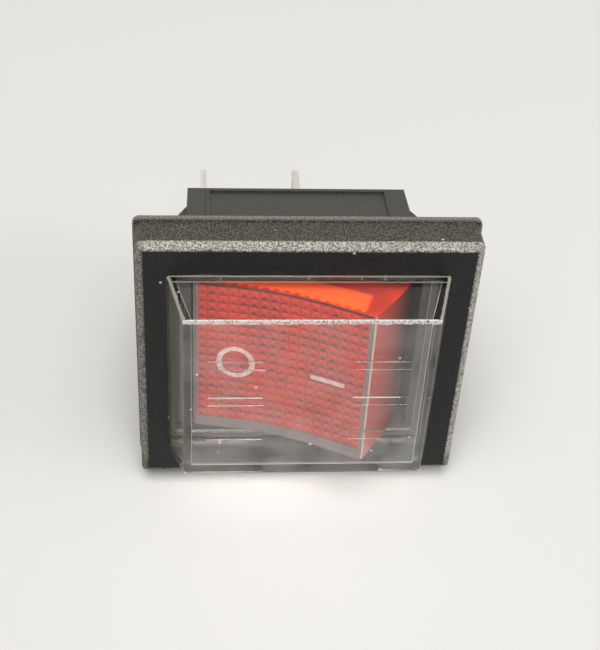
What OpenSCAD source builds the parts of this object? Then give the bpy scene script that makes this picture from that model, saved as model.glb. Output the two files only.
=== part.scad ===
// Panel rocker switch with a black guard frame and a clear press-through boot.
// Two poles under one illuminated rocker. Millimetres.
// Local axes while modelling: x along the rocker, y across it, z out of the panel.
// The last step turns the part so that the panel side faces +Y and y becomes +Z.

/* [Guard frame] */
// Width of the frame's front
frame_w = 39; // [37:0.5:46]
// Height of the frame's front
frame_h = 34.7; // [33:0.5:42]
// Depth of the frame in front of the panel
frame_d = 5.3; // [4.8:0.1:7]
// Chamfer round the front of the frame
frame_chamfer = 0.7; // [0.3:0.1:1]
// Corner radius of the frame
frame_corner_r = 0.8; // [0.3:0.1:2]
// How far the seating rim stands out at the back
rim_out = 0.35; // [0.1:0.05:1]
// Thickness of the seating rim
rim_t = 0.6; // [0.3:0.1:1.2]
// Thickness of the ledge that carries the switch
ledge_t = 1.2; // [1:0.1:1.6]
// Depth of the relief round the opening in the frame's back
seat_relief = 0.35; // [0.2:0.05:0.5]

/* [Clear boot] */
// Wall thickness of the boot
boot_wall = 0.9; // [0.6:0.05:1.2]
// Height of the boot in front of the frame
boot_rise = 6; // [5.6:0.2:8]
// Inward lean of the boot's end walls over their height
boot_lean_x = 1.75; // [0.8:0.05:2]
// Inward lean of the boot's long walls over their height
boot_lean_y = 1.65; // [0.8:0.05:2]
// Outer corner radius of the boot
boot_corner_r = 0.5; // [0.3:0.05:1]
// Inner corner radius of the boot
boot_in_corner_r = 0.3; // [0.2:0.05:0.4]
// Radius round the boot's front edges
boot_edge_r = 0.2; // [0.15:0.05:0.5]
// Radius inside the boot's front edges
boot_in_r = 0.15; // [0.1:0.05:0.4]
// Thickness of the boot's lip under the switch flange
boot_lip_t = 0.6; // [0.4:0.1:0.8]
// Width of the bead that holds the boot on the flange
boot_bead_w = 0.9; // [0.5:0.05:1.1]
// Height of that bead
boot_bead_t = 0.75; // [0.4:0.05:1]
// Length of a finger rib
rib_len = 6.4; // [4:0.1:7]
// Width of a finger rib
rib_w = 1.15; // [0.6:0.05:1.6]
// How far a finger rib stands out
rib_proud = 0.28; // [0.15:0.01:0.5]
// Distance between finger ribs
rib_pitch = 5.3; // [3:0.1:6]
// Number of finger ribs at each end
rib_count = 3; // [1:1:3]
// Distance from the boot's front edge to the ribs
rib_margin = 2.8; // [2:0.1:4]

/* [Housing] */
// Width of the body behind the panel
body_w = 28.2; // [27:0.1:29]
// Height of the body behind the panel
body_h = 22.1; // [21.7:0.1:23]
// Depth of the body behind the panel
body_d = 16.9; // [16.5:0.1:20]
// Draft of the body, total loss of width to its rear
body_draft_x = 0.7; // [0.2:0.05:0.8]
// Draft of the body, total loss of height to its rear
body_draft_y = 0.6; // [0.2:0.05:0.7]
// Overlap of the flange past the body at each end
flange_over_x = 0.9; // [0.6:0.05:1.3]
// Overlap of the flange past the body at each side
flange_over_y = 1.25; // [0.8:0.05:1.6]
// Thickness of the flange
flange_t = 1.5; // [1.2:0.1:2]
// End wall of the rocker well
well_wall_x = 0.8; // [0.7:0.05:1]
// Side wall of the rocker well
well_wall_y = 0.7; // [0.6:0.05:0.9]
// Depth of the rocker well below the panel face
well_depth = 8; // [7.7:0.1:8.6]
// Extra wall thickness below the rocker well
lower_wall_extra = 0.35; // [0.2:0.05:0.6]
// Floor thickness
floor_t = 1.4; // [1:0.1:2]
// Thickness of the wall between the poles
partition_t = 0.8; // [0.6:0.1:1.4]
// Spread of the snap wings past the body at their widest
wing_out = 1.5; // [1:0.05:1.7]
// Thickness of a snap wing
wing_t = 0.85; // [0.6:0.05:1]
// Length of a snap wing across the body
wing_len = 19.4; // [12:0.2:20]
// Size of the moulded outline on the long sides, along the rocker
outline_w = 22.8; // [15:0.2:24]
// Size of that outline, front to back
outline_h = 9; // [4:0.2:9.5]
// Width of the outline's line
outline_line = 0.4; // [0.25:0.05:0.6]
// How far the outline stands out
outline_proud = 0.15; // [0.08:0.01:0.3]

/* [Rocker] */
// Tilt of the rocker to each side
rocker_tilt = 18.5; // [15:0.5:18.5]
// Height of the rocker's face ends above the pivot
face_h = 9.5; // [9:0.1:10]
// Slope of each half of the rocker's face
face_slope = 8; // [4:0.5:10]
// Half length of the rounded middle of the face
face_blend = 6; // [4:0.2:8]
// Radius along the rocker's end edges
face_edge_r = 0.5; // [0.2:0.05:0.8]
// Extra half width of the rocker at its face
rocker_flare = 0.45; // [0.2:0.05:0.5]
// Height above the pivot where the flare starts
flare_z0 = 4.5; // [4:0.1:6]
// Height above the pivot where the flare ends
flare_z1 = 9; // [8:0.1:9.4]
// Pivot depth behind the panel face
pivot_depth = 2.45; // [2.2:0.05:2.7]
// Wall thickness of the lens
lens_wall = 1.2; // [0.9:0.05:1.3]
// Height of the lens side walls' lower edge above the pivot
lens_edge_z = 2; // [1.7:0.1:2.4]
// Angle of the lens end skirts below the pivot
skirt_angle = 5; // [2:0.5:6]
// Trunnion radius
trunnion_r = 1.25; // [0.8:0.05:1.4]
// Pitch of the waffle inside the lens
waffle_pitch = 1.2; // [1:0.05:1.6]
// Width of the waffle's grooves
waffle_groove = 0.3; // [0.2:0.05:0.4]
// Depth of the waffle's grooves
waffle_depth = 0.35; // [0.2:0.05:0.45]
// Engagement of the trunnions in the housing
trunnion_in = 0.42; // [0.3:0.02:0.46]
// Diameter of the off mark
off_mark_d = 4.6; // [3:0.1:5]
// Length of the on mark
on_mark_len = 4.2; // [2.5:0.1:5]
// Line width of both marks
mark_line = 0.6; // [0.4:0.05:0.8]
// Distance of the marks from the middle of the face
mark_offset = 5.6; // [5:0.1:7]
// Depth of the marks in the face
mark_depth = 0.35; // [0.2:0.05:0.5]

/* [Lamp] */
// Radius of the lamp's glass
lamp_r = 2; // [1.5:0.1:2.1]
// Length of the lamp's glass
lamp_len = 10.5; // [8:0.5:11]
// Radius of the series resistor
resistor_r = 1; // [0.7:0.1:1.2]
// Length of the series resistor
resistor_len = 5.6; // [3:0.2:6]
// Radius of the lamp's leads
lead_r = 0.25; // [0.15:0.05:0.35]

/* [Contacts] */
// Distance between the poles
pole_pitch = 10.6; // [10.2:0.1:10.8]
// Distance of the plunger tip's centre below the pivot
tip_drop = 7; // [6.8:0.05:7.2]
// Radius of the plunger tip
tip_r = 0.9; // [0.7:0.05:1]
// Radius of the plunger
plunger_r = 1.6; // [1.3:0.05:1.8]
// Wall of the carrier's plunger boss
boss_wall = 0.7; // [0.5:0.05:0.9]
// Wire radius of the plunger spring
spring_wire_r = 0.18; // [0.12:0.01:0.22]
// Coils of the plunger spring
spring_coils = 6; // [4:1:8]
// Tilt of the contact lever to each side
lever_tilt = 9; // [7:0.5:9.5]
// Thickness of the contact lever
lever_t = 0.8; // [0.6:0.05:0.9]
// Width of the contact lever
lever_w = 5; // [4:0.1:5.4]
// Half length of the contact lever
lever_half = 9.3; // [8.8:0.1:9.6]
// Height of the lever's arms above its fulcrum
arm_top = 1.1; // [1:0.05:1.2]
// Radius of the lever's rounded foot
fulcrum_r = 1.3; // [1.1:0.05:1.4]
// Distance of the contacts from the fulcrum
contact_x = 8.2; // [7.6:0.1:8.2]
// Radius of the contacts
contact_r = 1.1; // [0.8:0.05:1.1]
// Thickness of the contacts
contact_t = 0.6; // [0.4:0.05:0.7]
// Radius of the domed contact face
dome_r = 2.2; // [1.8:0.1:4]

/* [Terminals] */
// Width of the terminal tabs
tab_w = 6.3; // [4.8:0.1:6.3]
// Thickness of the terminal tabs
tab_t = 0.8; // [0.5:0.1:0.8]
// Length of the tabs behind the body
tab_len = 8.7; // [6:0.1:12]
// Radius of the hole in each tab
tab_hole_r = 0.85; // [0.5:0.05:1.1]
// Distance of that hole from the tab's tip
tab_hole_in = 3.4; // [2.5:0.1:4]
// Chamfer on the tab's tip
tab_chamfer = 0.4; // [0.2:0.1:1]
// Position of the end terminals from the middle
end_tab_x = 11.7; // [11.5:0.05:12]
// Position of the middle terminals
mid_tab_x = 0.5; // [0:0.1:0.8]

/* [Fits] */
// Clearance between the boot and the frame's window
boot_gap = 0.05; // [0.02:0.01:0.15]
// Clearance between the flange and the boot
flange_gap = 0.1; // [0.05:0.01:0.2]
// Clearance between the body and the frame's ledge
ledge_gap = 0.2; // [0.1:0.05:0.3]
// Clearance between the rocker and its well at the ends
rocker_gap_x = 0.2; // [0.15:0.01:0.3]
// Clearance between the rocker and its well at the sides
rocker_gap_y = 0.2; // [0.15:0.01:0.3]
// Running clearance of pins and plungers
run_gap = 0.05; // [0.03:0.01:0.08]
// Clearance under a moving piece at its stop
stop_gap = 0.04; // [0.02:0.01:0.1]
// Clearance between pieces fitted together in the rocker
fit_gap = 0.05; // [0.02:0.01:0.1]

/* [Hidden] */

$fn = 48;

// body, flange and boot sizes, from the body outwards
flange_w = body_w + 2 * flange_over_x;
flange_h = body_h + 2 * flange_over_y;
boot_in_w = flange_w + 2 * flange_gap;
boot_in_h = flange_h + 2 * flange_gap;
boot_w = boot_in_w + 2 * boot_wall;
boot_h = boot_in_h + 2 * boot_wall;
window_w = boot_w + 2 * boot_gap;
window_h = boot_h + 2 * boot_gap;
ledge_w = body_w + 2 * ledge_gap;
ledge_h = body_h + 2 * ledge_gap;
flange_z0 = ledge_t + boot_lip_t;
flange_z1 = flange_z0 + flange_t;
boot_front = frame_d + boot_rise;
pole_y = pole_pitch / 2;
floor_z = floor_t - body_d;

ledge_r = ledge_gap;
relief_gap = 0.4;
boot_step = 0.3;
rib_x = boot_w / 2 - boot_lean_x - rib_margin - rib_len / 2;
partition_top = -well_depth - 1;

// snap wings and moulded outline
wing_root_in = 0.6;
wing_root_z = 2.1 - body_d;
wing_low_z = 5.9 - body_d;
wing_high_z = -5.5;
wing_tip_z = -1.6;
wing_tip_x = 0.15;
wing_tip_t = 0.3;
wing_bend = 0.25;
outline_z0 = 0.7 - body_d;
outline_sink = 0.1;

// rocker well
well_x = body_w / 2 - well_wall_x;
well_y = body_h / 2 - well_wall_y;
lower_x = well_x - lower_wall_extra;
lower_y = well_y - lower_wall_extra;

// rocker profile about its pivot
skirt_r = well_x - rocker_gap_x;
rocker_y = well_y - rocker_gap_y;
face_x = (skirt_r - face_h * sin(rocker_tilt)) / cos(rocker_tilt);
blend_h = face_h - (face_x - face_blend) * tan(face_slope);
blend_r = face_blend / sin(face_slope);
blend_c = blend_h + blend_r * cos(face_slope);
skirt_top = 11;
face_steps = 16;
inner_skirt_r = skirt_r - lens_wall;
well_flare_z0 = -pivot_depth - end_x(flare_z0) * sin(rocker_tilt) + flare_z0 * cos(rocker_tilt);
well_flare_z1 = -pivot_depth - end_x(flare_z1) * sin(rocker_tilt) + flare_z1 * cos(rocker_tilt);

// lever geometry about its fulcrum
lift = tip_r + 2 * run_gap;
fulcrum_drop = tip_drop + lift;
fulcrum_z = -pivot_depth - fulcrum_drop;
tip_dx = tip_drop * sin(rocker_tilt);
tip_dz = fulcrum_drop - tip_drop * cos(rocker_tilt);
tip_px = cos(lever_tilt) * tip_dx - sin(lever_tilt) * tip_dz;
tip_pz = sin(lever_tilt) * tip_dx + cos(lever_tilt) * tip_dz;
saddle_c = (tip_px * tip_px + tip_pz * tip_pz - lift * lift) / (2 * (tip_pz - lift));
saddle_r = saddle_c - lift + tip_r + run_gap;
arm_z = arm_top - lever_t;
rivet_r = contact_r * 0.6;
rivet_head_t = 0.25;
rivet_head_r = rivet_r + 0.3;
dome_c = arm_z - contact_t + dome_r;
closed_x = -contact_x * cos(lever_tilt) - dome_c * sin(lever_tilt);
closed_z = -contact_x * sin(lever_tilt) + dome_c * cos(lever_tilt) - dome_r;
fixed_top = fulcrum_z + closed_z - stop_gap;
shelf_z = fixed_top - contact_t;
shelf_x1 = closed_x + contact_r + 0.4;
cradle_r = fulcrum_r + run_gap;
cradle_top = fulcrum_z - 0.9;
cradle_z = fulcrum_z - cradle_r - lever_t;
cradle_half = 1.7;
cradle_w = lever_w + 0.4;
rest_x = 8.2;
rest_half = 0.5;
rest_top = fulcrum_z + arm_z / cos(lever_tilt) - (rest_x + rest_half) * tan(lever_tilt) - stop_gap;
shoulder_w = tab_w + 1;

// rocker inner parts about the pivot
carrier_z0 = -1.5;
carrier_plate_t = 1.4;
carrier_rail = 1.5;
carrier_x = sqrt(pow(inner_skirt_r - fit_gap, 2) - pow(lens_edge_z, 2)) - 0.15;
carrier_y = rocker_y - lens_wall - fit_gap;
boss_r = plunger_r + run_gap + boss_wall;
boss_z0 = -4;
boss_z1 = lens_edge_z + 1.2;
bore_top = boss_z1 - 0.8;
plunger_top = -1.2;
plunger_neck = -4.8;
plunger_edge = 0.2;
plunger_taper = 1.2;
spring_r = plunger_r - spring_wire_r - 0.1;
lamp_z = lens_edge_z + 0.4 + lamp_r;
lamp_x0 = -9;
lamp_x1 = lamp_x0 + lamp_len;
resistor_x0 = lamp_x1 + 1.9;
resistor_x1 = resistor_x0 + resistor_len;
lead_y = 0.6;
lead_run = 0.8;
lead_over = 0.5;
saddle_t = 1;
lamp_saddle_w = 1.4 * lamp_r;
pinch_len = 0.8;
pinch_in = 0.2;
pinch_t = 1;
cap_len = 1.2;
trunnion_end = well_y + trunnion_in;
waffle_x = face_x - 1.9;
waffle_y = rocker_y - lens_wall - 0.4;

// turn from modelling axes to the part's own frame
module placed() { rotate([90, 0, 0]) children(); }

// everything carried by the rocker, at rest with its off end pressed
module on_rocker() { translate([0, 0, -pivot_depth]) rotate([0, -rocker_tilt, 0]) children(); }

// everything on a contact lever, at rest with its far end down
module on_lever(s) { translate([0, s * pole_y, fulcrum_z]) rotate([0, lever_tilt, 0]) children(); }

// extrude a profile in x and z along y, centred
module prism_y(w) { rotate([90, 0, 0]) linear_extrude(w, center = true) children(); }

// extrude a profile in y and z along x, centred
module prism_x(w) { rotate([90, 0, 90]) linear_extrude(w, center = true) children(); }

module rounded_rect(w, h, r) {
    square([w - 2 * r, h], center = true);
    square([w, h - 2 * r], center = true);
    for (x = [-1, 1], y = [-1, 1]) translate([x * (w / 2 - r), y * (h / 2 - r)]) circle(r);
}

module guard_frame() {
    color([0.13, 0.13, 0.13]) placed() difference() {
        union() {
            intersection() {
                linear_extrude(frame_d) rounded_rect(frame_w, frame_h, frame_corner_r);
                prism_y(frame_h + 1) frame_section(frame_w);
                prism_x(frame_w + 1) frame_section(frame_h);
            }
            linear_extrude(rim_t)
                rounded_rect(frame_w + 2 * rim_out, frame_h + 2 * rim_out, frame_corner_r);
        }
        translate([0, 0, ledge_t]) linear_extrude(frame_d)
            rounded_rect(window_w, window_h, boot_corner_r + boot_gap);
        translate([0, 0, -1]) linear_extrude(frame_d)
            rounded_rect(ledge_w, ledge_h, ledge_r);
        translate([0, 0, -1]) linear_extrude(1 + seat_relief)
            rounded_rect(body_w + 2 * (wing_out + relief_gap), ledge_h + 2 * relief_gap, relief_gap);
    }
}

module frame_section(w) {
    polygon([[-w / 2, 0], [w / 2, 0], [w / 2, frame_d - frame_chamfer],
        [w / 2 - frame_chamfer, frame_d], [frame_chamfer - w / 2, frame_d],
        [-w / 2, frame_d - frame_chamfer]]);
}

// the boot's leaning block, s inside its outer faces, rounded by rc in plan and r in front
module boot_block(s, rc, r) {
    hull() for (x = [-1, 1], y = [-1, 1]) {
        translate([x * (boot_w / 2 - s - rc), y * (boot_h / 2 - s - rc), frame_d - boot_step])
            cylinder(h = boot_step, r = rc, $fn = 32);
        translate([x * (boot_w / 2 - boot_lean_x - s - r), y * (boot_h / 2 - boot_lean_y - s - r),
            boot_front - s - r]) sphere(r, $fn = 32);
    }
}

module boot() {
    color([0.9, 0.88, 0.86, 0.3]) placed() {
        difference() {
            union() {
                translate([0, 0, ledge_t]) linear_extrude(frame_d - ledge_t)
                    rounded_rect(boot_w, boot_h, boot_corner_r);
                boot_block(0, boot_corner_r, boot_edge_r);
            }
            boot_block(boot_wall, boot_in_corner_r, boot_in_r);
            boot_pocket(flange_z0, flange_z1 + fit_gap, 0);
            boot_pocket(flange_z0, frame_d, boot_bead_w);
            boot_pocket(flange_z1 + boot_bead_t, frame_d, 0);
            translate([0, 0, ledge_t - 1]) linear_extrude(boot_lip_t + 1.5)
                rounded_rect(ledge_w, ledge_h, ledge_r);
        }
        for (sx = [-1, 1], i = [0:rib_count - 1])
            translate([sx * rib_x, (i - (rib_count - 1) / 2) * rib_pitch, boot_front - boot_wall / 2])
                finger_rib();
    }
}

module boot_pocket(z0, z1, s) {
    translate([0, 0, z0]) linear_extrude(z1 - z0)
        rounded_rect(boot_in_w - 2 * s, boot_in_h - 2 * s, boot_in_corner_r);
}

module finger_rib() {
    linear_extrude(boot_wall / 2 + rib_proud) square([rib_len, rib_w], center = true);
}

// body tapering to its rear, exact planes on all four sides
module drafted_body() {
    intersection() {
        prism_y(body_h + 1) draft_section(body_w, body_draft_x);
        prism_x(body_w + 1) draft_section(body_h, body_draft_y);
    }
}

module draft_section(w, draft) {
    polygon([[-w / 2, flange_z0], [w / 2, flange_z0], [w / 2, 0],
        [(w - draft) / 2, -body_d], [(draft - w) / 2, -body_d], [-w / 2, 0]]);
}

// one springy wing, rising from the body's rear and free towards the panel
module snap_wing() {
    x0 = body_w / 2;
    prism_y(wing_len) polygon([[x0 - wing_root_in, wing_root_z],
        [x0 - wing_root_in / 2, wing_root_z + wing_t / 2],
        [x0 + wing_out, wing_low_z], [x0 + wing_out, wing_high_z],
        [x0 + wing_tip_x + wing_tip_t, wing_tip_z], [x0 + wing_tip_x, wing_tip_z],
        [x0 + wing_out - wing_t, wing_high_z - wing_bend],
        [x0 + wing_out - wing_t, wing_low_z + 2 * wing_bend],
        [x0 - wing_root_in, wing_root_z + 2 * wing_t]]);
}

// raised line round a panel on each long side of the body
module side_outline() {
    for (s = [0, 1]) mirror([0, s, 0]) difference() {
        translate([-outline_w / 2, well_y + outline_sink, outline_z0])
            cube([outline_w, body_h / 2 + outline_proud - outline_sink - well_y - outline_sink, outline_h]);
        translate([outline_line - outline_w / 2, 0, outline_z0 + outline_line])
            cube([outline_w - 2 * outline_line, body_h, outline_h - 2 * outline_line]);
    }
}

module housing() {
    color([0.2, 0.2, 0.19]) placed() {
        difference() {
            union() {
                drafted_body();
                translate([0, 0, flange_z0]) linear_extrude(flange_t)
                    rounded_rect(flange_w, flange_h, boot_in_corner_r);
                for (s = [0, 1]) mirror([s, 0, 0]) snap_wing();
                side_outline();
            }
            prism_x(2 * well_x) polygon([[-well_y, -well_depth], [well_y, -well_depth],
                [well_y, well_flare_z0], [well_y + rocker_flare, well_flare_z1],
                [well_y + rocker_flare, flange_z1 + 1], [-well_y - rocker_flare, flange_z1 + 1],
                [-well_y - rocker_flare, well_flare_z1], [-well_y, well_flare_z0]]);
            translate([0, 0, floor_z]) linear_extrude(body_d)
                square([2 * lower_x, 2 * lower_y], center = true);
            translate([0, 0, -pivot_depth]) rotate([90, 0, 0])
                cylinder(h = 2 * (trunnion_end + run_gap), r = trunnion_r + run_gap, center = true);
            for (s = [-1, 1]) translate([0, s * pole_y, 0]) {
                tab_slot(-end_tab_x);
                tab_slot(mid_tab_x);
            }
        }
        translate([-lower_x - 0.2, -partition_t / 2, floor_z - 0.2])
            cube([2 * lower_x + 0.4, partition_t, partition_top - floor_z + 0.2]);
        for (s = [-1, 1]) translate([0, s * pole_y, floor_z - 0.2]) {
            inner_rib(rest_x - rest_half, rest_x + rest_half, rest_top);
            inner_rib(-end_tab_x + tab_t / 2 + 0.6, shelf_x1 - 0.3, shelf_z - tab_t - fit_gap);
        }
    }
}

module inner_rib(x0, x1, top) {
    translate([x0, -lever_w / 2, 0]) cube([x1 - x0, lever_w, top - floor_z + 0.2]);
}

module tab_slot(x) {
    translate([x - tab_t / 2 - fit_gap, -tab_w / 2 - fit_gap, -body_d - 1])
        cube([tab_t + 2 * fit_gap, tab_w + 2 * fit_gap, floor_t + 2]);
}

// points of an arc about the origin of the profile
function arc(r, a0, a1, n) = [for (i = [0:n]) let (a = a0 + (a1 - a0) * i / n) [r * cos(a), r * sin(a)]];

// the rocker's face from its right end to its left end, shrunk by s
function face(s) = concat([[face_x - s, face_h - s * tan(face_slope) - s]],
    [for (i = [0:face_steps]) let (a = face_slope * (1 - 2 * i / face_steps))
        [blend_r * sin(a), blend_c - blend_r * cos(a) - s]],
    [[s - face_x, face_h - s * tan(face_slope) - s]]);

// half length of the rocker at height z on its end walls
function end_x(z) = face_x + (face_h - z) * (skirt_r * cos(skirt_top) - face_x)
    / (face_h - skirt_r * sin(skirt_top));

function flip(pts) = [for (i = [len(pts) - 1:-1:0]) [-pts[i].x, pts[i].y]];

// a corner p between a and b rounded by radius r
function unit(v) = v / norm(v);
function corner(a, p, b, r) = let (u = unit(a - p), v = unit(b - p),
    half = acos(u * v) / 2, c = p + unit(u + v) * r / sin(half),
    t0 = p + u * r / tan(half), t1 = p + v * r / tan(half),
    a0 = atan2(t0.y - c.y, t0.x - c.x), d = atan2(t1.y - c.y, t1.x - c.x) - a0,
    turn = d > 180 ? d - 360 : d < -180 ? d + 360 : d)
    [for (i = [0:6]) c + r * [cos(a0 + turn * i / 6), sin(a0 + turn * i / 6)]];

// outer profile of the rocker, open at the bottom between its end skirts
function lens_end() = let (low = arc(skirt_r, -skirt_angle, skirt_top, 8), top = face(0))
    concat(low, corner(low[8], top[0], top[1], face_edge_r));
function lens_outer() = let (top = face(0))
    concat(lens_end(), [for (i = [1:len(top) - 2]) top[i]], flip(lens_end()));
function lens_inner_end() = concat([[inner_skirt_r * cos(skirt_angle), -skirt_r]],
    arc(inner_skirt_r, -skirt_angle, skirt_top, 8));

module rocker_lens() {
    color([0.75, 0.12, 0.06, 0.85]) placed() on_rocker() difference() {
        intersection() {
            prism_y(2 * rocker_y + 2 * rocker_flare) polygon(lens_outer());
            prism_x(2 * skirt_r + 2) polygon([[-rocker_y, -skirt_r], [rocker_y, -skirt_r],
                [rocker_y, flare_z0], [rocker_y + rocker_flare, flare_z1],
                [rocker_y + rocker_flare, skirt_r], [-rocker_y - rocker_flare, skirt_r],
                [-rocker_y - rocker_flare, flare_z1], [-rocker_y, flare_z0]]);
        }
        prism_y(2 * (rocker_y - lens_wall))
            polygon(concat(lens_inner_end(), face(lens_wall), flip(lens_inner_end())));
        prism_y(2 * rocker_y + 1) polygon(concat(
            [[inner_skirt_r * cos(skirt_angle), -skirt_r]],
            arc(inner_skirt_r, -skirt_angle, asin(lens_edge_z / inner_skirt_r), 6),
            flip(arc(inner_skirt_r, -skirt_angle, asin(lens_edge_z / inner_skirt_r), 6)),
            [[-inner_skirt_r * cos(skirt_angle), -skirt_r]]));
        on_face(-1) off_shape(fit_gap);
        on_face(1) on_shape(fit_gap);
        waffle_grooves();
    }
}

// crossed grooves in the underside of the face, leaving rows of square studs
module waffle_grooves() {
    nx = floor(2 * waffle_x / waffle_pitch / 2);
    ny = floor(2 * waffle_y / waffle_pitch / 2);
    for (i = [-ny:ny]) translate([0, i * waffle_pitch, 0]) prism_y(waffle_groove)
        polygon(concat(
            [for (p = face(0)) let (x = p.x * waffle_x / face_x) [x, waffle_under(x, waffle_depth)]],
            [[-waffle_x, lens_edge_z], [waffle_x, lens_edge_z]]));
    for (i = [-nx:nx]) {
        x = i * waffle_pitch;
        a = abs(x) < face_blend ? asin(x / blend_r) : sign(x) * face_slope;
        translate([x, 0, waffle_under(x, 0)]) rotate([0, -a, 0])
            translate([-waffle_groove / 2, -waffle_y - 0.2, -1])
                cube([waffle_groove, 2 * waffle_y + 0.4, 1 + waffle_depth]);
    }
}

// height of the face's underside at x, raised by g
function waffle_under(x, g) = (abs(x) < face_blend ? blend_c - sqrt(blend_r * blend_r - x * x)
    : blend_h + (abs(x) - face_blend) * tan(face_slope)) - lens_wall + g;

// seat of a mark on the face, s = -1 for the off end and 1 for the on end
module on_face(s) {
    a = min(face_slope, asin(mark_offset / blend_r));
    z = mark_offset < face_blend ? blend_c - blend_r * cos(a)
        : blend_h + (mark_offset - face_blend) * tan(face_slope);
    translate([s * mark_offset, 0, z]) rotate([0, -s * a, 0]) translate([0, 0, -mark_depth])
        children();
}

// ring of the off mark, grown by g
module off_shape(g) {
    translate([0, 0, -g]) difference() {
        cylinder(h = mark_depth + g + (g > 0 ? 1 : 0), r = off_mark_d / 2 + g);
        translate([0, 0, -1]) cylinder(h = 4, r = off_mark_d / 2 - mark_line - g);
    }
}

// bar of the on mark, along the rocker, grown by g
module on_shape(g) {
    translate([-on_mark_len / 2 - g, -mark_line / 2 - g, -g])
        cube([on_mark_len + 2 * g, mark_line + 2 * g, mark_depth + g + (g > 0 ? 1 : 0)]);
}

module off_mark() { color([0.85, 0.75, 0.72]) placed() on_rocker() on_face(-1) off_shape(0); }

module on_mark() { color([0.85, 0.75, 0.72]) placed() on_rocker() on_face(1) on_shape(0); }

module rocker_carrier() {
    color([0.1, 0.1, 0.1]) placed() on_rocker() difference() {
        union() {
            translate([-carrier_x, -carrier_y, lens_edge_z - carrier_plate_t])
                cube([2 * carrier_x, 2 * carrier_y, carrier_plate_t]);
            for (s = [-1, 1]) {
                translate([-carrier_x, s * (rocker_y - carrier_rail / 2) - carrier_rail / 2, carrier_z0])
                    cube([2 * carrier_x, carrier_rail, lens_edge_z - carrier_z0]);
                translate([s * (carrier_x - carrier_rail / 2) - carrier_rail / 2, -rocker_y, carrier_z0])
                    cube([carrier_rail, 2 * rocker_y, lens_edge_z - carrier_z0]);
                translate([0, s * pole_y, boss_z0]) cylinder(h = boss_z1 - boss_z0, r = boss_r);
                translate([0, s * (rocker_y - carrier_rail), 0]) rotate([-90 * s, 0, 0])
                    cylinder(h = trunnion_end - rocker_y + carrier_rail, r = trunnion_r);
            }
            for (x = [lamp_x0 + 1.5 * lamp_r, lamp_x1 - 2 * saddle_t])
                translate([x, -lamp_saddle_w / 2, lens_edge_z - carrier_plate_t / 2])
                    cube([saddle_t, lamp_saddle_w, lamp_z - lens_edge_z + carrier_plate_t / 2 - lamp_r / 2]);
        }
        for (s = [-1, 1]) translate([0, s * pole_y, boss_z0 - 1]) {
            cylinder(h = bore_top - boss_z0 + 1, r = plunger_r + run_gap);
            cylinder(h = 12, r = lead_r + fit_gap);
        }
        translate([lamp_x0, 0, lamp_z]) rotate([0, 90, 0])
            cylinder(h = lamp_len + 2, r = lamp_r + fit_gap);
    }
}

module neon_lamp() {
    color([0.95, 0.75, 0.6, 0.5]) placed() on_rocker() translate([0, 0, lamp_z]) {
        translate([lamp_x0 + lamp_r, 0, 0]) sphere(lamp_r);
        translate([lamp_x0 + lamp_r, 0, 0]) rotate([0, 90, 0]) cylinder(h = lamp_len - lamp_r, r = lamp_r);
        translate([lamp_x1 - pinch_in, -0.8 * lamp_r, -pinch_t / 2])
            cube([pinch_len + pinch_in, 1.6 * lamp_r, pinch_t]);
    }
}

module lamp_resistor() {
    color([0.75, 0.65, 0.5]) placed() on_rocker() translate([resistor_x0, -lead_y, lamp_z]) {
        rotate([0, 90, 0]) cylinder(h = resistor_len, r = resistor_r * 0.85);
        for (x = [0, resistor_len - cap_len]) translate([x, 0, 0]) rotate([0, 90, 0])
            cylinder(h = cap_len, r = resistor_r);
    }
}

// straight wire between two points, with round ends
module wire(a, b) {
    v = b - a;
    translate(a) rotate([0, acos(v.z / norm(v)), atan2(v.y, v.x)])
        cylinder(h = norm(v), r = lead_r, $fn = 24);
}

module wire_path(pts) {
    for (i = [0:len(pts) - 2]) wire(pts[i], pts[i + 1]);
    for (i = [1:len(pts) - 2]) translate(pts[i]) sphere(lead_r, $fn = 24);
}

module lamp_leads() {
    over = boss_z1 + lead_over;
    x0 = lamp_x1 + pinch_len;
    x1 = x0 + lead_run;
    x2 = resistor_x1 + lead_run;
    color([0.8, 0.78, 0.74]) placed() on_rocker() {
        wire_path([[x0, lead_y, lamp_z], [x1, lead_y, lamp_z], [x1, pole_y, lamp_z],
            [x1, pole_y, over], [0, pole_y, over], [0, pole_y, bore_top + fit_gap]]);
        wire_path([[x0, -lead_y, lamp_z], [(x0 + resistor_x0) / 2, -lead_y, lamp_z],
            [resistor_x0, -lead_y, lamp_z]]);
        wire_path([[resistor_x1, -lead_y, lamp_z], [x2, -lead_y, lamp_z], [x2, -pole_y, lamp_z],
            [x2, -pole_y, over], [0, -pole_y, over], [0, -pole_y, bore_top + fit_gap]]);
    }
}

module plunger(s) {
    color([0.8, 0.6, 0.3]) placed() on_rocker() translate([0, s * pole_y, 0]) rotate_extrude()
        polygon(concat([[0, plunger_top], [plunger_r - plunger_edge, plunger_top],
            [plunger_r, plunger_top - plunger_edge],
            [plunger_r, plunger_neck], [tip_r, plunger_neck - plunger_taper]],
            [for (i = [0:12]) [tip_r * cos(-90 * i / 12), -tip_drop + tip_r * sin(-90 * i / 12)]]));
}

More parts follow.
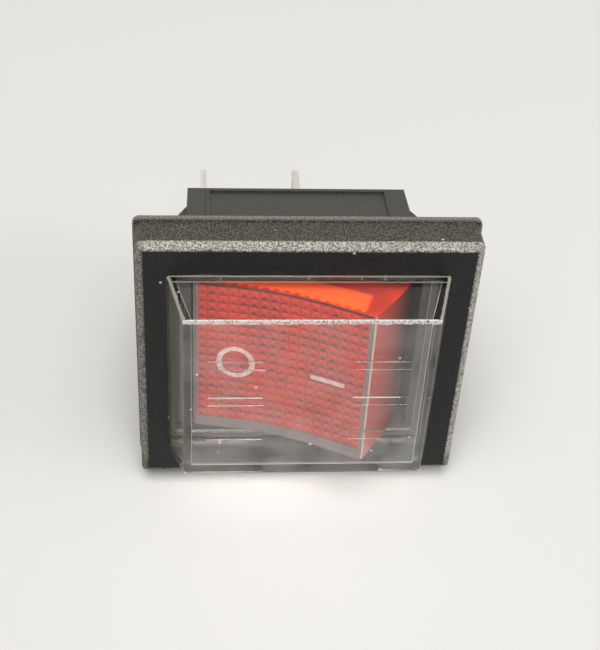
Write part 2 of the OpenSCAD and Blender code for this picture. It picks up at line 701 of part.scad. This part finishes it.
// compression spring from z0 to z1, with a flat-lying first and last coil
module coil_spring(r, wire_r, z0, z1, coils) {
    sides = 6;
    per = 16;
    n = per * (coils + 2);
    end = 2.2 * wire_r;
    ring = [for (i = [0:n]) let (t = i / per, a = 360 * t,
        z = t < 1 ? z0 + wire_r + end * t
            : t > coils + 1 ? z1 - wire_r - end * (coils + 2 - t)
            : z0 + wire_r + end + (z1 - z0 - 2 * wire_r - 2 * end) * (t - 1) / coils)
        for (j = [0:sides - 1]) let (b = 360 * j / sides)
            [(r + wire_r * cos(b)) * cos(a), (r + wire_r * cos(b)) * sin(a), z + wire_r * sin(b)]];
    polyhedron(ring, concat(
        [[for (j = [0:sides - 1]) j]],
        [for (i = [0:n - 1], j = [0:sides - 1]) let (k = (j + 1) % sides)
            [i * sides + j, (i + 1) * sides + j, (i + 1) * sides + k, i * sides + k]],
        [[for (j = [sides - 1:-1:0]) n * sides + j]]));
}

module plunger_spring(s) {
    color([0.75, 0.75, 0.75]) placed() on_rocker() translate([0, s * pole_y, 0])
        coil_spring(spring_r, spring_wire_r, plunger_top + fit_gap / 2, bore_top - fit_gap / 2, spring_coils);
}

module lever_section() {
    difference() {
        union() {
            translate([-lever_half, arm_z]) square([2 * lever_half, lever_t]);
            intersection() {
                translate([0, saddle_c]) circle(saddle_r + lever_t, $fn = 180);
                translate([-saddle_r, -saddle_r]) square([2 * saddle_r, saddle_r + arm_z + fit_gap]);
            }
            intersection() {
                circle(fulcrum_r);
                translate([-fulcrum_r, -fulcrum_r]) square([2 * fulcrum_r, fulcrum_r]);
            }
        }
        translate([0, saddle_c]) circle(saddle_r, $fn = 180);
    }
}

module contact_lever(s) {
    color([0.8, 0.62, 0.3]) placed() on_lever(s) difference() {
        prism_y(lever_w) lever_section();
        translate([-contact_x, 0, 0]) cylinder(h = 3, r = rivet_r + fit_gap);
    }
}

module moving_contact(s) {
    color([0.85, 0.85, 0.85]) placed() on_lever(s) translate([-contact_x, 0, 0]) {
        intersection() {
            translate([0, 0, arm_z - contact_t]) cylinder(h = contact_t, r = contact_r);
            translate([0, 0, dome_c]) sphere(dome_r);
        }
        translate([0, 0, arm_z - fit_gap]) cylinder(h = lever_t + 2 * fit_gap, r = rivet_r);
        translate([0, 0, arm_top]) cylinder(h = rivet_head_t, r = rivet_head_r);
    }
}

// tab through the floor, with its tip narrowed and a hole across it
module tab(top) {
    tip = -body_d - tab_len;
    intersection() {
        translate([-tab_t / 2, -shoulder_w / 2, tip]) cube([tab_t, shoulder_w, top - tip]);
        prism_x(tab_t + 1) difference() {
            polygon([[-shoulder_w / 2, top], [-shoulder_w / 2, floor_z], [-tab_w / 2, floor_z],
                [-tab_w / 2, tip + tab_chamfer], [tab_chamfer - tab_w / 2, tip],
                [tab_w / 2 - tab_chamfer, tip], [tab_w / 2, tip + tab_chamfer],
                [tab_w / 2, floor_z], [shoulder_w / 2, floor_z], [shoulder_w / 2, top]]);
            translate([0, tip + tab_hole_in]) circle(tab_hole_r);
        }
    }
}

module centre_terminal(s) {
    color([0.8, 0.8, 0.78]) placed() translate([0, s * pole_y, 0]) {
        translate([mid_tab_x, 0, 0]) tab(cradle_z + 0.1);
        difference() {
            translate([-cradle_half, -cradle_w / 2, cradle_z])
                cube([2 * cradle_half, cradle_w, cradle_top - cradle_z]);
            translate([0, 0, fulcrum_z]) rotate([90, 0, 0])
                cylinder(h = cradle_w + 1, r = cradle_r, center = true);
        }
    }
}

module end_terminal(s) {
    color([0.8, 0.8, 0.78]) placed() translate([0, s * pole_y, 0]) {
        translate([-end_tab_x, 0, 0]) tab(shelf_z);
        difference() {
            translate([-end_tab_x - tab_t / 2, -lever_w / 2, shelf_z - tab_t])
                cube([shelf_x1 + end_tab_x + tab_t / 2, lever_w, tab_t]);
            translate([closed_x, 0, shelf_z - 2]) cylinder(h = 4, r = rivet_r + fit_gap);
        }
    }
}

module fixed_contact(s) {
    color([0.85, 0.85, 0.85]) placed() translate([closed_x, s * pole_y, 0]) {
        translate([0, 0, shelf_z]) cylinder(h = contact_t, r = contact_r);
        translate([0, 0, shelf_z - tab_t]) cylinder(h = tab_t + 0.1, r = rivet_r);
    }
}

module plunger_upper() { plunger(1); }
module plunger_lower() { plunger(-1); }
module plunger_spring_upper() { plunger_spring(1); }
module plunger_spring_lower() { plunger_spring(-1); }
module contact_lever_upper() { contact_lever(1); }
module contact_lever_lower() { contact_lever(-1); }
module moving_contact_upper() { moving_contact(1); }
module moving_contact_lower() { moving_contact(-1); }
module centre_terminal_upper() { centre_terminal(1); }
module centre_terminal_lower() { centre_terminal(-1); }
module end_terminal_upper() { end_terminal(1); }
module end_terminal_lower() { end_terminal(-1); }
module fixed_contact_upper() { fixed_contact(1); }
module fixed_contact_lower() { fixed_contact(-1); }

guard_frame();
boot();
housing();
rocker_lens();
rocker_carrier();
off_mark();
on_mark();
neon_lamp();
lamp_resistor();
lamp_leads();
plunger_upper();
plunger_lower();
plunger_spring_upper();
plunger_spring_lower();
contact_lever_upper();
contact_lever_lower();
moving_contact_upper();
moving_contact_lower();
centre_terminal_upper();
centre_terminal_lower();
end_terminal_upper();
end_terminal_lower();
fixed_contact_upper();
fixed_contact_lower();
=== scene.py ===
import bpy
import bmesh
import math
from mathutils import Matrix, Vector


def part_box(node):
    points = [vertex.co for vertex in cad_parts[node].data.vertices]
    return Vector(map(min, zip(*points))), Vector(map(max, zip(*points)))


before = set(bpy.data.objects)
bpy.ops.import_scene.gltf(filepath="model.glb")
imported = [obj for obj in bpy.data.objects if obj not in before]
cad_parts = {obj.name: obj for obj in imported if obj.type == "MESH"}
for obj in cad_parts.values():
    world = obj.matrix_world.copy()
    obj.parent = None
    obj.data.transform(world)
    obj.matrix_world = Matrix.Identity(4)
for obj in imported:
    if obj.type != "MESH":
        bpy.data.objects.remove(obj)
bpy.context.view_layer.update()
mm = 0.001


def newMaterial(name):
    mat = bpy.data.materials.new(name)
    mat.use_nodes = True
    return mat, mat.node_tree, mat.node_tree.nodes["Principled BSDF"]


def plug(tree, socket, value):
    if isinstance(value, (int, float)):
        socket.default_value = value
    elif isinstance(value, tuple):
        socket.default_value = (*value, 1) if len(value) == 3 and len(socket.default_value) == 4 else value
    else:
        tree.links.new(value, socket)


def calc(tree, operation, *values):
    node = tree.nodes.new("ShaderNodeMath")
    node.operation = operation
    for socket, value in zip(node.inputs, values):
        plug(tree, socket, value)
    return node.outputs[0]


def band(tree, value, low, high):  # 0 at low, 1 at high, smooth between, and falling where low is the larger
    node = tree.nodes.new("ShaderNodeMapRange")
    node.interpolation_type = "SMOOTHSTEP"
    for socket, v in zip(node.inputs, (value, low, high)):
        plug(tree, socket, v)
    return node.outputs[0]


def blendColour(tree, amount, first, second):
    node = tree.nodes.new("ShaderNodeMix")
    node.data_type = "RGBA"
    plug(tree, node.inputs[0], amount)
    plug(tree, node.inputs[6], first)
    plug(tree, node.inputs[7], second)
    return node.outputs[2]


def place(tree, output="Object", shift=(0, 0, 0), turn=(0, 0, 0), scale=(1, 1, 1), kind="POINT"):
    coord = tree.nodes.new("ShaderNodeTexCoord")
    node = tree.nodes.new("ShaderNodeMapping")
    node.vector_type = kind
    node.inputs["Rotation"].default_value = turn
    node.inputs["Scale"].default_value = scale
    if kind == "POINT":
        node.inputs["Location"].default_value = shift
    tree.links.new(coord.outputs[output], node.inputs["Vector"])
    return node.outputs["Vector"]


def split(tree, vector):
    node = tree.nodes.new("ShaderNodeSeparateXYZ")
    tree.links.new(vector, node.inputs[0])
    return node.outputs[0], node.outputs[1], node.outputs[2]


def grain(tree, scale, detail=2.0, rough=0.55, stretch=(1, 1, 1)):
    node = tree.nodes.new("ShaderNodeTexNoise")
    node.inputs["Scale"].default_value = scale
    node.inputs["Detail"].default_value = detail
    node.inputs["Roughness"].default_value = rough
    tree.links.new(place(tree, scale=stretch), node.inputs["Vector"])
    return node.outputs["Fac"]


def specks(tree, scale, size, share):  # sparse round dots, a share of the cells filled
    node = tree.nodes.new("ShaderNodeTexVoronoi")
    node.inputs["Scale"].default_value = scale
    tree.links.new(place(tree), node.inputs["Vector"])
    red, green, blue = split(tree, node.outputs["Color"])
    small = calc(tree, "LESS_THAN", node.outputs["Distance"], calc(tree, "MULTIPLY", green, size))
    return calc(tree, "MULTIPLY", small, calc(tree, "GREATER_THAN", red, 1 - share))


def bump(tree, bsdf, height, strength, distance):
    node = tree.nodes.new("ShaderNodeBump")
    node.inputs["Strength"].default_value = strength
    node.inputs["Distance"].default_value = distance
    tree.links.new(height, node.inputs["Height"])
    tree.links.new(node.outputs["Normal"], bsdf.inputs["Normal"])


def dress(node, mat):
    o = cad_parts[node]
    o.data.materials.clear()
    o.data.materials.append(mat)


# guard frame: spark-eroded grain and a little dust, with a painted highlight on its front chamfer and back
# rim and painted shade darkening its front face
frameLook = {"dark": (0.02, 0.019, 0.015), "pale": (0.15, 0.14, 0.108), "polished": (0.62, 0.58, 0.51),
             "shadedFrontDark": (0.004, 0.004, 0.0045), "shadedFrontPale": (0.011, 0.011, 0.012),
             "dust": (0.5, 0.48, 0.45), "rough": 0.52, "specular": 0.35, "grain": 5200.0,
             "grainDepth": 0.05 * mm, "flare": 0.35 * mm, "chamfer": 0.7 * mm, "edgeWidth": 0.26 * mm,
             "edgeSoft": 0.06 * mm, "frontStart": 0.2 * mm, "frontFull": 0.05 * mm,
             "bottomEdge": (-16 * mm, -14 * mm), "leftEdge": (-18.6 * mm, -18.2 * mm),
             "rimX": (0.1 * mm, 0.18 * mm), "rimZ": (0.07 * mm, 0.15 * mm)}


def frameFinish(p):
    mat, tree, bsdf = newMaterial("sparkGrainedBlack")
    low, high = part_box("guard_frame")
    halfX, halfZ, depth = high.x - p["flare"], high.z - p["flare"], -low.y
    fine, coarse = grain(tree, p["grain"], 1.0), grain(tree, p["grain"] * 0.3, 2.0)
    x, y, z = split(tree, place(tree))
    # painted shade: the front face gets darker copies of the grain colours than the sides
    front = band(tree, calc(tree, "MULTIPLY", y, -1), depth - p["frontStart"], depth - p["frontFull"])
    pale = blendColour(tree, front, p["pale"], p["shadedFrontPale"])
    dark = blendColour(tree, front, p["dark"], p["shadedFrontDark"])
    base = blendColour(tree, band(tree, fine, 0.4, 0.7), dark, pale)
    notBottom = calc(tree, "MULTIPLY_ADD", band(tree, z, *p["bottomEdge"]), 0.6, 0.4)
    notLeft = calc(tree, "MULTIPLY_ADD", band(tree, x, *p["leftEdge"]), 0.5, 0.5)
    highlightFalloff = calc(tree, "MULTIPLY", notBottom, notLeft)  # the painted highlight is dimmer on the bottom and left edges, which face away from the light
    x, z = calc(tree, "ABSOLUTE", x), calc(tree, "ABSOLUTE", z)
    # painted highlight: a bright speckled line along the front chamfer
    edges = []
    for side, half in ((x, halfX), (z, halfZ)):
        out = calc(tree, "SUBTRACT", side, y)  # the same all over the front chamfer
        reach = half + depth - p["chamfer"]
        edges.append(band(tree, out, reach - p["edgeWidth"], reach - p["edgeSoft"]))
    edgeHighlight = calc(tree, "MAXIMUM", *edges)
    sparkle = calc(tree, "MULTIPLY_ADD", band(tree, fine, 0.36, 0.66), 0.75, 0.2)
    sparkle = calc(tree, "MULTIPLY", sparkle, band(tree, coarse, 0.05, 0.6))
    edgeHighlight = calc(tree, "MULTIPLY", calc(tree, "MULTIPLY", edgeHighlight, sparkle), highlightFalloff)
    base = blendColour(tree, edgeHighlight, base, p["polished"])
    # painted highlight: a bright line along the back rim
    rimX = band(tree, x, halfX + p["rimX"][0], halfX + p["rimX"][1])
    rimZ = band(tree, z, halfZ + p["rimZ"][0], halfZ + p["rimZ"][1])
    rim = calc(tree, "MULTIPLY", calc(tree, "MAXIMUM", rimZ, rimX), calc(tree, "MULTIPLY", fine, 0.5))
    base = blendColour(tree, rim, base, p["polished"])
    base = blendColour(tree, specks(tree, scale=1500.0, size=0.28, share=0.02), base, p["dust"])
    plug(tree, bsdf.inputs["Base Color"], base)
    bsdf.inputs["Roughness"].default_value = p["rough"]
    bsdf.inputs["Specular IOR Level"].default_value = p["specular"]
    bump(tree, bsdf, fine, 0.6, p["grainDepth"])
    return mat


def plainPlastic(name, colour, rough, scale=2500.0, strength=0.1, spread=0.2, depth=0.04 * mm):
    mat, tree, bsdf = newMaterial(name)
    noise = grain(tree, scale)
    low, high = (tuple(min(1, c * k) for c in colour) for k in (1 - spread, 1 + spread))
    plug(tree, bsdf.inputs["Base Color"], blendColour(tree, band(tree, noise, 0.35, 0.65), low, high))
    bsdf.inputs["Roughness"].default_value = rough
    bump(tree, bsdf, noise, strength, depth)
    return mat


def plainMetal(name, colour, rough, metallic, scale=1500.0, strength=0.06, dim=0.82, depth=0.02 * mm):
    mat, tree, bsdf = newMaterial(name)
    bsdf.inputs["Metallic"].default_value = metallic
    noise = grain(tree, scale, stretch=(1, 0.12, 1))  # drawn out along the tabs
    low = tuple(c * dim for c in colour)
    plug(tree, bsdf.inputs["Base Color"], blendColour(tree, band(tree, noise, 0.35, 0.65), low, colour))
    bsdf.inputs["Roughness"].default_value = rough
    bump(tree, bsdf, noise, strength, depth)
    return mat


# boot: clear soft plastic with a light haze and dust, a painted highlight along its front top edge, a
# painted reflection growing towards the bottom of the front, painted reflections in its side walls and
# painted highlight lines near its base
bootLook = {"tint": (0.97, 0.965, 0.95), "rough": 0.03, "ior": 1.4, "shade": (0.94, 0.93, 0.92),
            "frostAndHighlight": (0.86, 0.84, 0.8), "ivory": (0.5, 0.47, 0.38), "reflectedUmber": (0.13, 0.11, 0.085),
            "frostRough": 0.45, "crestHighlightShare": 0.9, "cornerShare": 0.7, "baseHighlightShare": 0.5, "sideReflectionShare": 0.6,
            "speckHaze": 0.7, "haze": 0.15, "lowReflection": 0.12, "baseHighlightLines": ((0.985, 0.02), (0.86, 0.015)),
            "bandHeight": 0.6 * mm, "bandSoft": 0.06 * mm, "cornerBand": 0.4 * mm, "ripple": 0.5 * mm,
            "skin": 0.1 * mm, "sideSkin": 0.06 * mm, "lineLow": -11 * mm, "reflectionDrop": 12 * mm,
            "baseX": 16.0 * mm, "baseZ": 13.3 * mm, "leanX": 1.75 * mm, "leanZ": 1.65 * mm,
            "rise": 6.0 * mm, "wallWave": 0.05 * mm}


def bootFinish(p):
    mat, tree, bsdf = newMaterial("clearSoftPlastic")
    bsdf.inputs["Base Color"].default_value = (*p["tint"], 1)
    bsdf.inputs["Roughness"].default_value = p["rough"]
    bsdf.inputs["IOR"].default_value = p["ior"]
    bsdf.inputs["Transmission Weight"].default_value = 1.0
    # a rough white plastic for the haze and dust, also carrying the painted highlights and painted
    # reflections
    frostAndPaintedLight = tree.nodes.new("ShaderNodeBsdfPrincipled")
    frostAndPaintedLight.inputs["Roughness"].default_value = p["frostRough"]
    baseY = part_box("guard_frame")[0].y  # the walls rise from the frame's front
    frontX, frontZ = p["baseX"] - p["leanX"], p["baseZ"] - p["leanZ"]
    x, y, z = split(tree, place(tree))
    fine, coarse = grain(tree, 5200.0, 1.0), grain(tree, 1700.0, 3.0)
    ripple = calc(tree, "MULTIPLY", calc(tree, "SUBTRACT", coarse, 0.5), p["ripple"])
    rise = calc(tree, "DIVIDE", calc(tree, "SUBTRACT", y, baseY), p["rise"])
    back = calc(tree, "ADD", rise, 1)  # 0 at the boot's front, 1 at its base
    halfX = calc(tree, "MULTIPLY_ADD", back, p["leanX"], frontX)
    halfZ = calc(tree, "MULTIPLY_ADD", back, p["leanZ"], frontZ)
    insideX = calc(tree, "SUBTRACT", halfX, calc(tree, "ABSOLUTE", x))  # depth below the outer skin
    insideZ = calc(tree, "SUBTRACT", halfZ, calc(tree, "ABSOLUTE", z))
    front = band(tree, calc(tree, "MULTIPLY", back, -1), -0.03, -0.012)
    # painted highlight: a white band along the front top edge
    bandZ = frontZ - p["bandHeight"]
    top = band(tree, calc(tree, "ADD", z, ripple), bandZ, bandZ + p["bandSoft"])
    paintedCrestHighlight = calc(tree, "MULTIPLY", calc(tree, "MULTIPLY", top, front), band(tree, fine, 0.2, 0.6))
    # a whitened band along the corner edges
    nearX = band(tree, calc(tree, "ADD", insideX, ripple), p["cornerBand"], p["cornerBand"] * 0.75)
    nearZ = band(tree, calc(tree, "ADD", insideZ, ripple), p["cornerBand"], p["cornerBand"] * 0.75)
    corner = calc(tree, "MULTIPLY", calc(tree, "MULTIPLY", nearX, nearZ), band(tree, fine, 0.1, 0.5))
    outer = calc(tree, "LESS_THAN", calc(tree, "MINIMUM", insideX, insideZ), p["skin"])
    outer = calc(tree, "MULTIPLY", outer, calc(tree, "GREATER_THAN", z, p["lineLow"]))
    wavy = calc(tree, "MULTIPLY_ADD", coarse, 0.02, back)
    wall = calc(tree, "LESS_THAN", back, 1.01)
    # painted highlight: two thin bright lines near the base of the walls
    highlightLines = []
    for at, wide in p["baseHighlightLines"]:
        off = calc(tree, "ABSOLUTE", calc(tree, "SUBTRACT", wavy, at))
        highlightLines.append(calc(tree, "MULTIPLY", band(tree, off, wide, wide * 0.5), wall))
    base = calc(tree, "MULTIPLY", calc(tree, "MAXIMUM", *highlightLines), outer)
    # painted reflection: a dark umber band in the outer skin of the side walls
    sideReflection = calc(tree, "LESS_THAN", insideX, p["sideSkin"])
    sideReflection = calc(tree, "MULTIPLY", sideReflection, band(tree, fine, 0.3, 0.7))
    # a light haze on the front wall, plus a painted reflection that grows towards the bottom
    lowReflectionMask = band(tree, calc(tree, "MULTIPLY", z, -1), 0, p["reflectionDrop"])
    haze = calc(tree, "MULTIPLY_ADD", lowReflectionMask, p["lowReflection"], p["haze"])
    haze = calc(tree, "MULTIPLY", haze, band(tree, grain(tree, 260.0, 4.0), 0.1, 0.7))
    amount = calc(tree, "MULTIPLY", front, haze)
    dust = specks(tree, scale=1500.0, size=0.3, share=0.02)
    marks = ((paintedCrestHighlight, p["crestHighlightShare"]), (corner, p["cornerShare"]), (base, p["baseHighlightShare"]),
             (sideReflection, p["sideReflectionShare"]), (dust, p["speckHaze"]))
    for mark, share in marks:
        amount = calc(tree, "MAXIMUM", amount, calc(tree, "MULTIPLY", mark, share))
    colour = blendColour(tree, front, p["ivory"], p["frostAndHighlight"])
    reflectedBrown = calc(tree, "MULTIPLY", sideReflection, calc(tree, "SUBTRACT", 1, corner))
    plug(tree, frostAndPaintedLight.inputs["Base Color"], blendColour(tree, reflectedBrown, colour, p["reflectedUmber"]))
    clear = tree.nodes.new("ShaderNodeBsdfTransparent")  # light passes through on its way to the rocker
    clear.inputs["Color"].default_value = (*p["shade"], 1)
    dustHazeAndPaintedLight = tree.nodes.new("ShaderNodeMixShader")
    shadow = tree.nodes.new("ShaderNodeMixShader")
    ray = tree.nodes.new("ShaderNodeLightPath")
    plug(tree, dustHazeAndPaintedLight.inputs[0], amount)
    plug(tree, dustHazeAndPaintedLight.inputs[1], bsdf.outputs[0])
    plug(tree, dustHazeAndPaintedLight.inputs[2], frostAndPaintedLight.outputs[0])
    plug(tree, shadow.inputs[0], ray.outputs["Is Shadow Ray"])
    plug(tree, shadow.inputs[1], dustHazeAndPaintedLight.outputs[0])
    plug(tree, shadow.inputs[2], clear.outputs[0])
    plug(tree, tree.nodes["Material Output"].inputs["Surface"], shadow.outputs[0])
    bump(tree, bsdf, grain(tree, 420.0, 1.0), 0.12, p["wallWave"])
    return mat


# rocker lens: red translucent plastic with the waffle of its underside showing, painted shade and highlight
# on the waffle's facets, painted light (the side colour) on the upper side walls and a painted shadow line
# along the face's top edge
lensLook = {"red": (0.54, 0.024, 0.006), "deep": (0.1, 0.004, 0.002), "pale": (0.75, 0.07, 0.025),
            "side": (1.0, 0.1, 0.008), "end": (0.42, 0.035, 0.018), "band": (0.17, 0.12, 0.115),
            "rim": (0.012, 0.006, 0.005), "raised": (0.7, 0.48, 0.44), "rough": 0.3, "coat": 0.3,
            "coatRough": 0.08, "studHeight": 0.25 * mm, "pitch": 1.2 * mm, "tooth": 1.1 * mm,
            "tilt": 18.5, "pivot": 2.45 * mm, "midHeight": 8.42 * mm, "innerX": 9.95 * mm,
            "raisedX": 10.52 * mm, "innerZ": 8.95 * mm, "outerZ": 10.3 * mm, "bandSoft": 0.1 * mm,
            "rimSoft": 0.03 * mm, "sideLightTop": (0.8 * mm, 1.0 * mm), "sideLightLow": (4.6 * mm, 3.8 * mm),
            "sideLightEnd": (9.6 * mm, 9.0 * mm), "endFade": (0.5 * mm, 8 * mm)}


def lensFinish(p):
    mat, tree, bsdf = newMaterial("redLensPlastic")
    tilt = math.radians(p["tilt"])
    turn = (0, 0, tilt)
    shift = (p["pivot"] * math.sin(tilt), -p["pivot"] * math.cos(tilt), 0)
    # measured from the pivot, in the directions of the tilted rocker
    along, down, across = split(tree, place(tree, shift=shift, turn=turn))
    normal = split(tree, place(tree, "Normal", turn=turn, kind="VECTOR"))
    faceMask = band(tree, calc(tree, "MULTIPLY", normal[1], -1), 0.5, 0.6)
    endMask = band(tree, calc(tree, "ABSOLUTE", normal[0]), 0.6, 0.7)
    cells = [calc(tree, "ADD", calc(tree, "DIVIDE", w, p["pitch"]), 20.5) for w in (along, across)]
    u, v = (calc(tree, "SUBTRACT", calc(tree, "FRACT", w), 0.5) for w in cells)  # 0 at a stud's middle
    flatU, flatV = calc(tree, "ABSOLUTE", u), calc(tree, "ABSOLUTE", v)
    stud = calc(tree, "SUBTRACT", 0.5, calc(tree, "MAXIMUM", flatU, flatV))
    # painted shade on each stud's lower facet and in the grooves, painted highlight (the pale colour) on its
    # upper facet
    lowFacetShade = band(tree, calc(tree, "SUBTRACT", calc(tree, "MULTIPLY", v, -1), flatU), 0.0, 0.06)
    highFacetHighlight = band(tree, calc(tree, "SUBTRACT", v, flatU), 0.02, 0.1)
    grooveShade = band(tree, calc(tree, "MAXIMUM", flatU, flatV), 0.42, 0.47)
    patch = band(tree, grain(tree, 300.0, 2.0), 0.35, 0.65)
    depth = calc(tree, "MULTIPLY_ADD", patch, 0.45, 0.5)
    red = blendColour(tree, calc(tree, "MULTIPLY", patch, 0.25), p["red"], p["deep"])
    red = blendColour(tree, calc(tree, "MULTIPLY", lowFacetShade, depth), red, p["deep"])
    red = blendColour(tree, calc(tree, "MULTIPLY", highFacetHighlight, 0.3), red, p["pale"])
    red = blendColour(tree, calc(tree, "MULTIPLY", grooveShade, 0.5), red, p["deep"])
    lower = band(tree, calc(tree, "MULTIPLY", across, -1), p["innerZ"], p["innerZ"] + p["bandSoft"])
    ends = band(tree, calc(tree, "ABSOLUTE", along), p["innerX"], p["innerX"] + p["bandSoft"])
    face = blendColour(tree, calc(tree, "MAXIMUM", lower, ends), red, p["band"])
    # painted shadow: a dark line along the face's top edge
    rim = band(tree, across, p["outerZ"], p["outerZ"] + p["rimSoft"])
    face = blendColour(tree, calc(tree, "MULTIPLY", rim, 0.95), face, p["rim"])
    raised = calc(tree, "GREATER_THAN", calc(tree, "ABSOLUTE", along), p["raisedX"])
    face = blendColour(tree, calc(tree, "MULTIPLY", raised, 0.6), face, p["raised"])
    # painted light: the upper side walls, lit from above, in bright orange
    fall = calc(tree, "MULTIPLY_ADD", calc(tree, "ABSOLUTE", along), 0.1, p["midHeight"])
    below = calc(tree, "ADD", fall, down)  # depth below the face's edge
    teeth = calc(tree, "MULTIPLY_ADD", flatU, p["tooth"], below)
    paintedSideLight = calc(tree, "MULTIPLY", band(tree, teeth, *p["sideLightTop"]), band(tree, below, *p["sideLightLow"]))
    paintedSideLight = calc(tree, "MULTIPLY", paintedSideLight, band(tree, calc(tree, "ABSOLUTE", along), *p["sideLightEnd"]))
    side = blendColour(tree, calc(tree, "MULTIPLY", patch, 0.4), p["red"], p["deep"])
    side = blendColour(tree, paintedSideLight, side, p["side"])
    end = blendColour(tree, band(tree, below, *p["endFade"]), p["end"], p["deep"])
    wall = blendColour(tree, endMask, side, end)
    plug(tree, bsdf.inputs["Base Color"], blendColour(tree, faceMask, wall, face))
    bsdf.inputs["Roughness"].default_value = p["rough"]
    bsdf.inputs["Coat Weight"].default_value = p["coat"]
    bsdf.inputs["Coat Roughness"].default_value = p["coatRough"]
    inside = calc(tree, "SUBTRACT", 1, calc(tree, "MAXIMUM", lower, ends))
    studs = calc(tree, "MULTIPLY", stud, calc(tree, "MULTIPLY", inside, faceMask))
    bump(tree, bsdf, studs, 0.5, p["studHeight"])
    return mat


# plain pieces: colour, roughness and, for a metal, how metallic
plasticLook = {"darkBodyPlastic": ((0.048, 0.046, 0.042), 0.5), "paleMarkInlay": ((0.66, 0.45, 0.43), 0.5),
               "blackCarrierPlastic": ((0.02, 0.02, 0.02), 0.45), "lampGlass": ((0.8, 0.6, 0.5), 0.2),
               "resistorCoat": ((0.6, 0.45, 0.28), 0.4), "plungerPlastic": ((0.7, 0.64, 0.5), 0.4)}
metalLook = {"tinnedSteel": ((0.86, 0.83, 0.76), 0.35, 0.55), "leverBrass": ((0.78, 0.58, 0.28), 0.3, 1.0),
             "contactSilver": ((0.86, 0.85, 0.83), 0.22, 1.0)}
plastic = {name: plainPlastic(name, *look) for name, look in plasticLook.items()}
metal = {name: plainMetal(name, *look) for name, look in metalLook.items()}
finishes = {
    "guard_frame": frameFinish(frameLook), "boot": bootFinish(bootLook), "rocker_lens": lensFinish(lensLook),
    "housing": plastic["darkBodyPlastic"], "rocker_carrier": plastic["blackCarrierPlastic"],
    "off_mark": plastic["paleMarkInlay"], "on_mark": plastic["paleMarkInlay"],
    "neon_lamp": plastic["lampGlass"], "lamp_resistor": plastic["resistorCoat"],
    "lamp_leads": metal["tinnedSteel"],
}
for pole in ("upper", "lower"):
    finishes["plunger_" + pole] = plastic["plungerPlastic"]
    finishes["plunger_spring_" + pole] = metal["contactSilver"]
    finishes["contact_lever_" + pole] = metal["leverBrass"]
    finishes["moving_contact_" + pole] = metal["contactSilver"]
    finishes["fixed_contact_" + pole] = metal["contactSilver"]
    finishes["centre_terminal_" + pole] = metal["tinnedSteel"]
    finishes["end_terminal_" + pole] = metal["tinnedSteel"]
for node, mat in finishes.items():
    dress(node, mat)
print("finishes are on all nodes")

floorLook = {"colour": (0.8, 0.79, 0.765), "rough": 0.9, "reach": 0.6, "drop": 0.02 * mm, "tabEnd": 1 * mm}


def makeFloor(p):  # the switch rests on its frame's lower rim and its lower tabs
    rim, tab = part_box("guard_frame"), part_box("end_terminal_lower")
    low = Vector((0, rim[1][1], rim[0][2] - p["drop"]))
    tip = Vector((0, tab[1][1] - p["tabEnd"], tab[0][2] - p["drop"]))
    slope = math.atan2(tip.z - low.z, tip.y - low.y)
    bm = bmesh.new()
    bmesh.ops.create_grid(bm, x_segments=2, y_segments=2, size=p["reach"])
    turn = Matrix.Translation(low) @ Matrix.Rotation(slope, 4, "X")
    bmesh.ops.transform(bm, matrix=turn, verts=bm.verts)
    mesh = bpy.data.meshes.new("tableTop")
    bm.to_mesh(mesh)
    bm.free()
    o = bpy.data.objects.new("tableTop", mesh)
    bpy.context.scene.collection.objects.link(o)
    mat, tree, bsdf = newMaterial("paleTable")
    bsdf.inputs["Base Color"].default_value = (*p["colour"], 1)
    bsdf.inputs["Roughness"].default_value = p["rough"]
    mesh.materials.append(mat)


makeFloor(floorLook)
print("table top is under the switch")

# the sky is seen at full strength, but lights the switch softly
skyLook = {"colour": (0.8, 0.79, 0.765), "lighting": 0.25, "seen": 1.0}


def makeSky(p):
    world = bpy.data.worlds.new("studio")
    bpy.context.scene.world = world
    world.use_nodes = True
    tree = world.node_tree
    sky = tree.nodes["Background"]
    sky.inputs["Color"].default_value = (*p["colour"], 1)
    ray = tree.nodes.new("ShaderNodeLightPath")
    seen = calc(tree, "MAXIMUM", ray.outputs["Is Camera Ray"], ray.outputs["Is Glossy Ray"])
    seen = calc(tree, "MAXIMUM", seen, ray.outputs["Is Transmission Ray"])
    strength = calc(tree, "MULTIPLY_ADD", seen, p["seen"] - p["lighting"], p["lighting"])
    plug(tree, sky.inputs["Strength"], strength)


makeSky(skyLook)

lampLook = {"overheadSoftbox": {"at": (-0.04, -0.21, 0.4), "side": 0.36, "power": 1.95},
            "rightSoftbox": {"at": (0.4, -0.08, 0.16), "side": 0.2, "power": 0.5}}


def softLamp(name, p):
    data = bpy.data.lights.new(name, "AREA")
    data.shape = "RECTANGLE"
    data.size = data.size_y = p["side"]
    data.energy = p["power"]
    o = bpy.data.objects.new(name, data)
    o.location = p["at"]
    o.rotation_euler = (-Vector(p["at"])).to_track_quat("-Z", "Y").to_euler()  # aimed at the switch
    bpy.context.scene.collection.objects.link(o)


for name, look in lampLook.items():
    softLamp(name, look)
print("sky and lamps are set")

# the camera's place is in mm
cameraLook = {"at": (-13.04, -116.83, 94.39), "forward": (0.0856, 0.7817, -0.6177),
              "up": (0.0016, 0.6199, 0.7847), "lens": 68.7, "clip": 0.005}


def makeCamera(p):
    data = bpy.data.cameras.new("camera")
    data.lens = p["lens"]
    data.clip_start = p["clip"]
    o = bpy.data.objects.new("camera", data)
    forward = Vector(p["forward"]).normalized()
    right = forward.cross(Vector(p["up"])).normalized()
    m = Matrix((right, right.cross(forward), -forward)).transposed().to_4x4()
    m.translation = Vector(p["at"]) * mm
    o.matrix_world = m
    bpy.context.scene.collection.objects.link(o)
    bpy.context.scene.camera = o


makeCamera(cameraLook)
bpy.context.scene.view_settings.view_transform = "Standard"
print("camera is set")
